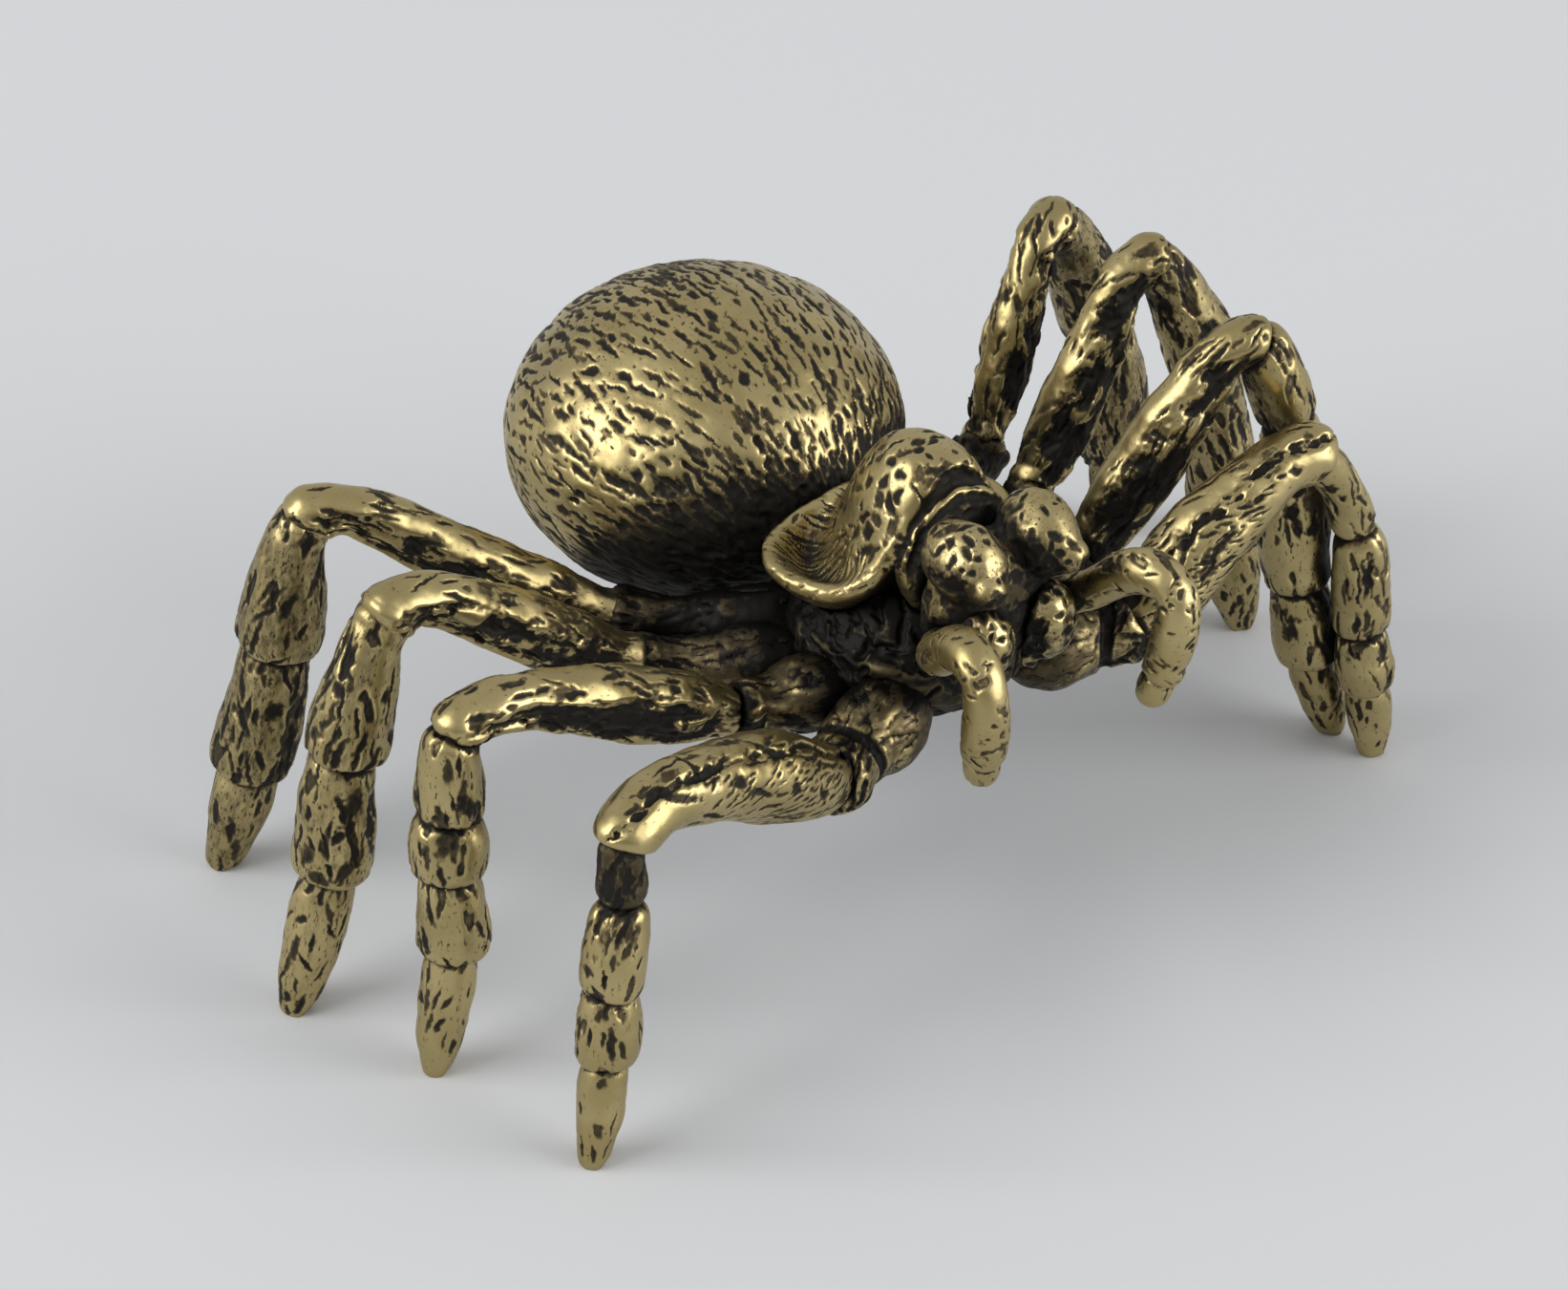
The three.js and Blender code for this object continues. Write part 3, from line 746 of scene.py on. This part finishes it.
def map_range(tree, value, low, high, to_low=0.0, to_high=1.0):
    """A socket whose value goes smoothly from one number to another as its input goes from low to high."""
    node = tree.nodes.new("ShaderNodeMapRange")
    node.interpolation_type = "SMOOTHSTEP"
    tree.links.new(value, node.inputs["Value"])
    for name, number in (("From Min", low), ("From Max", high), ("To Min", to_low), ("To Max", to_high)):
        node.inputs[name].default_value = number
    return node.outputs["Result"]


def antique_brass(name, wear, rough, tint):
    """Brass with a dark finish left in its marks, and the painted shade that comes in with it, as one of the
    finishes says.
    """
    material = bpy.data.materials.get(name)
    if material:
        return material
    colours = bpy.context.scene.spider_colours
    material = bpy.data.materials.new(name)
    material.use_nodes = True
    tree = material.node_tree
    shader = tree.nodes["Principled BSDF"]
    place = tree.nodes.new("ShaderNodeTexCoord").outputs["Object"]
    stain = node_of(tree, "ShaderNodeTexNoise", scale=3.0, detail=5.0, roughness=0.65)
    cloud = node_of(tree, "ShaderNodeTexNoise", scale=260.0, detail=3.0, roughness=0.5)
    grit = node_of(tree, "ShaderNodeTexNoise", scale=5000.0, detail=3.0, roughness=0.6)
    speck = node_of(tree, "ShaderNodeTexNoise", scale=6.5, detail=2.0, roughness=0.6)
    for texture in (cloud, grit):
        tree.links.new(place, texture.inputs["Vector"])
    drawn = tree.nodes.new("ShaderNodeAttribute")
    drawn.attribute_name = "drawn"
    for texture in (stain, speck):
        tree.links.new(drawn.outputs["Vector"], texture.inputs["Vector"])
    patina = tree.nodes.new("ShaderNodeAttribute")
    patina.attribute_name = "patina"
    sway = tree.nodes.new("ShaderNodeMath")
    sway.operation = "MULTIPLY_ADD"
    sway.inputs[1].default_value = STAIN_SWAY
    tree.links.new(stain.outputs["Fac"], sway.inputs[0])
    tree.links.new(patina.outputs["Fac"], sway.inputs[2])
    specks = tree.nodes.new("ShaderNodeMath")
    specks.operation = "ADD"
    tree.links.new(sway.outputs[0], specks.inputs[0])
    tree.links.new(map_range(tree, speck.outputs["Fac"], *SPECK_FADE, 0.0, SPECK_DARK), specks.inputs[1])
    level = specks.outputs[0]
    thin = map_range(tree, level, *(wear + edge for edge in THIN_EDGE))
    thick = map_range(tree, level, *(wear + edge for edge in THICK_EDGE))
    dull = map_range(tree, level, *(wear + edge for edge in DULL_EDGE), rough, rough + DULLING)
    tone = map_range(tree, cloud.outputs["Fac"], *TONE_FADE)
    metal = mix_colour(tree, tone, colours.brass, colours.bright)
    browned = mix_colour(tree, thin, metal, colours.brown)
    darkened = mix_colour(tree, thick, browned, [tint * part for part in colours.dark])
    tree.links.new(darkened, shader.inputs["Base Color"])
    tree.links.new(map_range(tree, thick, 0.0, 1.0, 1.0, DARK_METALLIC), shader.inputs["Metallic"])
    tree.links.new(dull, shader.inputs["Roughness"])
    bump = node_of(tree, "ShaderNodeBump", strength=0.25, distance=GRIT_HEIGHT * MM)
    tree.links.new(grit.outputs["Fac"], bump.inputs["Height"])
    tree.links.new(bump.outputs["Normal"], shader.inputs["Normal"])
    return material


def finish(piece, node, marks, drawn, hidden=()):
    """Darkens the marks, hollows and seams, paints shade into sheltered places, gives the piece its metal and
    sets it on the spider.
    """
    points = points_of(piece.data)
    halo = softened(piece.data, marks[:, None], HALO_PASSES)[:, 0]
    dark = MARK_WEIGHT * marks + HALO_WEIGHT * halo
    dark = dark + FINE_WEIGHT * np.clip(hollowness(piece, FINE_PASSES), *FINE_LIMITS)
    dark += BROAD_WEIGHT * np.clip(hollowness(piece, BROAD_PASSES) - BROAD_START, *BROAD_LIMITS)
    dark += SEAM_WEIGHT * seam_shade(points, node, hidden)
    # Painted shade in sheltered places, along with the patina kept there
    dark += SHELTER_SHADE_WEIGHT * np.clip(shelter(points, normals_of(piece.data)) - SHELTER_START, 0, 1)
    # The feet stay flat on the floor
    points[:, 2] = np.maximum(points[:, 2], 0)
    # The patina and the painted shade go to the material together in one attribute
    piece.data.attributes.new("patina", "FLOAT", "POINT").data.foreach_set("value", dark.astype(np.float32))
    place = piece.data.attributes.new("drawn", "FLOAT_VECTOR", "POINT")
    place.data.foreach_set("vector", drawn.astype(np.float32).ravel())
    put_points(piece.data, points * MM)
    piece.data.shade_smooth()
    piece.data.materials.append(antique_brass(*FINISHES[SLOTS[node]]))
    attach(piece, "root")
    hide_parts(node)


# Pieces
class SPIDER_OT_abdomen(bpy.types.Operator):
    """Casts the abdomen and chases dashes that run towards the waist"""

    bl_idname = "spider.abdomen"
    bl_label = "Abdomen"

    def execute(self, context):
        piece = cast("abdomen", grain=context.scene.spider_sizes.abdomen_grain)
        low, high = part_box("pedicel")
        waist = np.array((low + high) / 2) / MM
        swell(piece, ABDOMEN_SWELL)
        points = points_of(piece.data)
        flow = unit(waist - points)
        drawn = drawn_round(points, waist, ABDOMEN_STRETCH)
        outward = unit(points - points.mean(0))
        outward[:, 0] = -np.abs(outward[:, 0])
        facing = outward @ ABDOMEN_UNDER
        kept = 1 - REAR_THINNING * smoothstep(*REAR_FADE, outward[:, 1])
        marks = chase(piece, ABDOMEN_DASH, flow, drawn, kept)
        marks = np.maximum(marks, chase(piece, ABDOMEN_DOT, flow, points))
        marks = np.maximum(marks, chase(piece, ABDOMEN_CUT, flow, drawn, smoothstep(*CUT_FADE, facing)))
        # Painted shade and patina under the front of the abdomen and on its downward faces
        darkening = UNDER_SHADE_AND_PATINA * smoothstep(*UNDER_FADE, facing)
        darkening = darkening + BELLY_SHADE_AND_PATINA * smoothstep(*BELLY_FADE, outward[:, 2])
        finish(piece, "abdomen", marks + darkening, drawn)
        return {"FINISHED"}


class SPIDER_OT_core(bpy.types.Operator):
    """Casts the thorax and the waist, which stay dark"""

    bl_idname = "spider.core"
    bl_label = "Thorax and waist"

    def execute(self, context):
        for node in ("thorax", "pedicel"):
            piece = cast(node, rounding=0, smoothing=12)
            swell(piece, CORE_SWELL)
            lift(piece, FATTENING * smoothstep(*CORE_FAT_FADE, normals_of(piece.data)[:, 2]))
            points = points_of(piece.data)
            drawn = drawn_round(points, points.mean(0) + UP, CORE_STRETCH)
            marks = drag(piece, CORE_STREAK, drawn)
            marks = np.maximum(marks, chase(piece, CORE_DASH, unit(points - points.mean(0)), points))
            # The core's dark finish, with painted shade added to it
            finish(piece, node, marks + CORE_DARK_AND_SHADE, drawn)
        return {"FINISHED"}


class SPIDER_OT_carapace(bpy.types.Operator):
    """Casts the back shield, grooves its band, pits its dome and lines its dish"""

    bl_idname = "spider.carapace"
    bl_label = "Carapace"

    def execute(self, context):
        piece = cast("carapace", rounding=1)
        swell(piece, CARAPACE_SWELL)
        points = points_of(piece.data)
        low, high = (np.array(corner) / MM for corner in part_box("carapace"))
        centre = (low + high) / 2
        share = (points - centre) / (high - low) * 2
        dome = smoothstep(*DOME_FADE, share[:, 2])
        outwards = (np.abs(share[:, :2]) ** RIM_POWER).sum(1) ** (1 / RIM_POWER)
        rim = smoothstep(*RIM_FADE, outwards) * (1 - dome)
        dish = (1 - dome) * (1 - rim) * smoothstep(*DISH_FADE, normals_of(piece.data)[:, 2])
        away = points - centre + SPREAD_AHEAD
        away[:, 2] = 0
        flow = unit(away)
        wander = BAND_WANDER * noise(points, BAND_WANDER_SIZE, seed_of(piece.name))
        behind = points[:, 1] - low[1] + wander
        gaps = np.minimum(np.abs(behind - BAND_BEHIND), np.abs(behind - BAND_BEHIND + BAND_WIDTH))
        groove = (1 - smoothstep(*GROOVE_FADE, gaps)) * dome
        lift(piece, -BAND_GROOVE * groove)
        marks = np.maximum(groove, chase(piece, SHIELD_PIT, flow, points, dome))
        marks = marks + COLLAR_GRIME * smoothstep(*COLLAR_FADE, behind)
        marks = np.maximum(marks, chase(piece, DISH_LINE, flow, points, dish))
        marks = np.maximum(marks, chase(piece, RIM_PIT, flow, points, rim))
        finish(piece, "carapace", marks + RIM_GRIME * rim + DISH_GRIME * dish, points)
        return {"FINISHED"}


class SPIDER_OT_head(bpy.types.Operator):
    """Casts the head and the jaws under it"""

    bl_idname = "spider.head"
    bl_label = "Head and jaws"

    def execute(self, context):
        for node in ("head", *("chelicera_" + side for side in SIDES)):
            piece = cast(node, rounding=1)
            swell(piece, HEAD_SWELL)
            points = points_of(piece.data)
            # Painted shade on the faces that look down
            low = smoothstep(*LOW_FADE, normals_of(piece.data)[:, 2])
            middle = smoothstep(*MIDDLE_FADE, np.abs(points[:, 0] - BODY_MIDDLE[0])) * (node == "head")
            marks = chase(piece, HEAD_PIT, lengthwise(points), points)
            marks = np.maximum(marks, drag(piece, HEAD_STREAK, points, low))
            darkening = HEAD_GRIME if node == "head" else JAW_GRIME
            finish(piece, node, marks + darkening + LOW_FACE_SHADE * low + MIDDLE_GRIME * middle, points)
        return {"FINISHED"}


class SPIDER_OT_palps(bpy.types.Operator):
    """Casts the palps, which handling keeps smooth and bright, with a crease near their ends"""

    bl_idname = "spider.palps"
    bl_label = "Palps"

    def execute(self, context):
        for part, side in itertools.product(PALP_PARTS, SIDES):
            node = f"palp_{part}_{side}"
            piece = cast(node)
            gaps = bulge(piece, [f"palp_{other}_{side}" for other in PALP_PARTS if other != part])
            seam = 1 - smoothstep(*PALP_SEAM_FADE, gaps)
            lift(piece, -PALP_CREASE * seam)
            swell(piece, PALP_SWELL)
            points = points_of(piece.data)
            flow = lengthwise(points)
            drawn = drawn_out(points, flow, LEG_STRETCH)
            marks = chase(piece, PALP_PIT, flow, drawn)
            marks = np.maximum(marks, drag(piece, PALP_STREAK, drawn))
            finish(piece, node, np.maximum(marks, seam), drawn)
        return {"FINISHED"}


class SPIDER_OT_legs(bpy.types.Operator):
    """Casts every link of the eight legs and chases dashes along it"""

    bl_idname = "spider.legs"
    bl_label = "Legs"

    def execute(self, context):
        for pair, side, link in itertools.product(PAIRS, SIDES, LINKS):
            node = f"leg_{pair}_{side}_{link}"
            if node in frame["nodes"]:
                self.cast_link(node, pair, side, link)
        return {"FINISHED"}

    def cast_link(self, node, pair, side, link):
        """Casts one link of a leg, with its marks and dirt."""
        piece = cast(node)
        hidden = self.smooth_neighbours(pair, side, link)
        if hidden:
            bulge(piece, hidden)
        swell(piece, ROOT_SWELL if link == "root" else LINK_SWELL)
        points = points_of(piece.data)
        flow = lengthwise(points)
        drawn = drawn_out(points, flow, LEG_STRETCH)
        out = np.linalg.norm(points[:, :2] - BODY_MIDDLE, axis=1)
        out = (out - out.min()) / np.ptp(out)
        darkening = PAIR_DARKENING[pair] * (link != "femur") + PATELLA_GRIME * (node == DARK_PATELLA)
        if link == "tarsus":
            marks = chase(piece, TOE_DASH, flow, drawn)
        else:
            if link == "femur":
                marks, share = self.shape_femur(piece, pair, side, flow, drawn, out)
            else:
                marks = drag(piece, SHIN_STREAK, drawn)
                share = np.full(len(points), SHIN_DASHES)
            marks = np.maximum(marks, chase(piece, LEG_DASH, slanted(piece, flow), drawn, share))
            marks = np.maximum(marks, chase(piece, LEG_PATCH, flow, points))
        if link == "root":
            darkening = darkening + ROOT_DARKENING[pair] * smoothstep(*ROOT_GRIME_FADE, out)
            lift(piece, FATTENING * smoothstep(*ROOT_FAT_FADE, out))
            ring = (1 - smoothstep(*RING_FADE, np.abs(out - RING_PLACE))) * (pair == RINGED_PAIR)
            lift(piece, -RING_GROOVE * ring)
            marks = np.maximum(marks, ring)
        finish(piece, node, marks + darkening, drawn, hidden)

    def shape_femur(self, piece, pair, side, flow, drawn, out):
        """Hollows a femur, or creases and hatches it; returns its marks and the share of dashes."""
        points = points_of(piece.data)
        fluted = pair in FLUTED_LEGS
        if not fluted:
            lift(piece, FEMUR_FATTENING * smoothstep(*FEMUR_FAT_FADE, out))
        hollow = (flute if fluted else crease)(piece, flow, drawn)
        # Painted shade and patina in the flute or crease, with streaks dragged into it
        marks = FLUTE_SHADE_AND_PATINA * hollow + drag(piece, LEG_STREAK, drawn, hollow)
        share = 1 - KNEE_THINNING * smoothstep(*KNEE_FADE, out)
        if not fluted:
            hatched = smoothstep(*HATCH_FADE, out)
            hatched = hatched * smoothstep(*HATCH_SIDE_FADE, normals_of(piece.data)[:, 2])
            hatch = slanted(piece, flow, HATCH_SLANT[side])
            marks = np.maximum(marks, chase(piece, FEMUR_HATCH, hatch, points, hatched))
            share = HATCHED_DASHES * share * (1 - HATCH_THINNING * hatched)
        return marks, share

    def smooth_neighbours(self, pair, side, link):
        """The links next to this one whose seams with it don't show."""
        if pair not in SMOOTH_LEGS or link not in SMOOTH_LINKS:
            return []
        place = SMOOTH_LINKS.index(link)
        nearby = SMOOTH_LINKS[max(place - 1, 0):place + 2]
        return [f"leg_{pair}_{side}_{other}" for other in nearby if other != link]


# Stage
def soft_lamp(name, place, size, watts):
    """A square lamp that looks at the spider."""
    lamp = bpy.data.lights.new(name, "AREA")
    lamp.size = size
    lamp.energy = watts
    holder = bpy.data.objects.new(name, lamp)
    bpy.context.scene.collection.objects.link(holder)
    holder.location = place
    holder.rotation_euler = (-Vector(place)).to_track_quat("-Z", "Y").to_euler()


def pale_floor(colour):
    """A plain matt floor."""
    bpy.ops.object.select_all(action="DESELECT")
    bpy.ops.mesh.primitive_plane_add(size=FLOOR_SIZE)
    floor = bpy.context.active_object
    floor.name = "floor"
    material = bpy.data.materials.new("pale_floor")
    material.use_nodes = True
    shader = material.node_tree.nodes["Principled BSDF"]
    shader.inputs["Base Color"].default_value = (*colour, 1)
    shader.inputs["Roughness"].default_value = 0.95
    shader.inputs["Specular IOR Level"].default_value = 0.1
    floor.data.materials.append(material)


def soft_sky(stage):
    """Soft light from all round, weaker from the front."""
    world = bpy.data.worlds.new("soft_sky")
    world.use_nodes = True
    tree = world.node_tree
    tree.nodes["Background"].inputs["Color"].default_value = SKY_TINT
    facing = tree.nodes.new("ShaderNodeVectorMath")
    facing.operation = "DOT_PRODUCT"
    facing.inputs[1].default_value = SKY_BACK
    tree.links.new(tree.nodes.new("ShaderNodeTexCoord").outputs["Generated"], facing.inputs[0])
    strength = map_range(tree, facing.outputs["Value"], *SKY_FADE, stage.front_sky, stage.sky)
    tree.links.new(strength, tree.nodes["Background"].inputs["Strength"])
    return world


class SPIDER_OT_stage(bpy.types.Operator):
    """Lays the pale floor and sets the soft lamps and the camera"""

    bl_idname = "spider.stage"
    bl_label = "Stage"

    def execute(self, context):
        scene = context.scene
        stage = scene.spider_stage
        pale_floor(stage.floor)
        scene.world = soft_sky(stage)
        for lamp in LAMPS:
            soft_lamp(*lamp)
        data = bpy.data.cameras.new("camera")
        data.sensor_width = SENSOR_WIDTH
        data.lens = stage.focal_pixels / PHOTO_WIDTH * SENSOR_WIDTH
        data.clip_start = 0.01
        camera = bpy.data.objects.new("camera", data)
        scene.collection.objects.link(camera)
        camera.location = stage.camera_place
        camera.rotation_euler = stage.camera_turn
        scene.camera = camera
        scene.view_settings.view_transform = "Standard"
        return {"FINISHED"}


class SPIDER_PT_panel(bpy.types.Panel):
    """Lists the spider's pieces, sizes, colours and stage"""

    bl_idname = "SPIDER_PT_panel"
    bl_label = "Brass Spider"
    bl_space_type = "VIEW_3D"
    bl_region_type = "UI"
    bl_category = "Spider"

    def draw(self, context):
        for operator in OPERATORS:
            self.layout.operator(operator.bl_idname)
        for group in GROUPS:
            settings = getattr(context.scene, group)
            for name in settings.__annotations__:
                self.layout.prop(settings, name)


OPERATORS = (
    SPIDER_OT_abdomen,
    SPIDER_OT_core,
    SPIDER_OT_carapace,
    SPIDER_OT_head,
    SPIDER_OT_palps,
    SPIDER_OT_legs,
    SPIDER_OT_stage,
)
GROUPS = {
    "spider_sizes": CastingSizes,
    "spider_colours": FinishColours,
    "spider_stage": StageSettings,
}


def register():
    for kind in (*GROUPS.values(), *OPERATORS, SPIDER_PT_panel):
        bpy.utils.register_class(kind)
    for name, group in GROUPS.items():
        setattr(bpy.types.Scene, name, PointerProperty(type=group))


def unregister():
    for name in GROUPS:
        delattr(bpy.types.Scene, name)
    for kind in (SPIDER_PT_panel, *reversed(OPERATORS), *GROUPS.values()):
        bpy.utils.unregister_class(kind)


def main():
    register()
    for operator in OPERATORS:
        family, name = operator.bl_idname.split(".")
        getattr(getattr(bpy.ops, family), name)()


if __name__ == "__main__":
    main()
